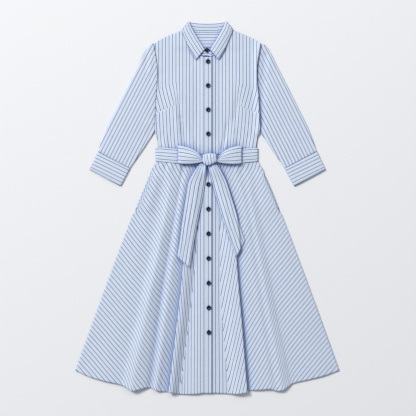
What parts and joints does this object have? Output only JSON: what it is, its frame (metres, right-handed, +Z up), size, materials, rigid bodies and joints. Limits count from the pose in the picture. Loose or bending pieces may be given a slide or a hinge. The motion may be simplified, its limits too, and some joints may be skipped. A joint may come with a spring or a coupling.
{
  "type": "shirt dress",
  "caption": "Belted midi shirt dress in striped cotton, laid flat with its front up: point collar, buttoned front, three-quarter sleeves with cuffs, tied belt and flared skirt.",
  "frame": {"origin": "centre of the dress as laid, on the surface it lies on", "axes": "+X to the wearer's left, +Y to the collar, +Z up from the surface out of the front"},
  "size_m": [0.884, 1.2496, 0.025],
  "materials": {
    "striped_cotton": "matte plain-weave shirting",
    "navy_button": "polished resin"
  },
  "bodies": {
    "root": {"back_bodice": "striped_cotton", "back_yoke": "striped_cotton", "back_skirt": "striped_cotton", "front_bodice_right": "striped_cotton", "front_bodice_left": "striped_cotton", "front_skirt_right": "striped_cotton", "front_skirt_left": "striped_cotton", "button_band": "striped_cotton", "collar_stand": "striped_cotton", "collar": "striped_cotton", "sleeve_right": "striped_cotton", "sleeve_left": "striped_cotton", "cuff_right": "striped_cotton", "cuff_left": "striped_cotton", "pocket_right": "striped_cotton", "pocket_left": "striped_cotton", "belt_band": "striped_cotton", "bow_loop_right": "striped_cotton", "bow_loop_left": "striped_cotton", "bow_knot": "striped_cotton", "belt_tail_right": "striped_cotton", "belt_tail_left": "striped_cotton", "button_01": "navy_button", "button_02": "navy_button", "button_03": "navy_button", "button_04": "navy_button", "button_05": "navy_button", "button_06": "navy_button", "button_07": "navy_button", "button_08": "navy_button", "button_09": "navy_button", "button_10": "navy_button", "button_11": "navy_button", "button_12": "navy_button"}
  },
  "joints": []
}
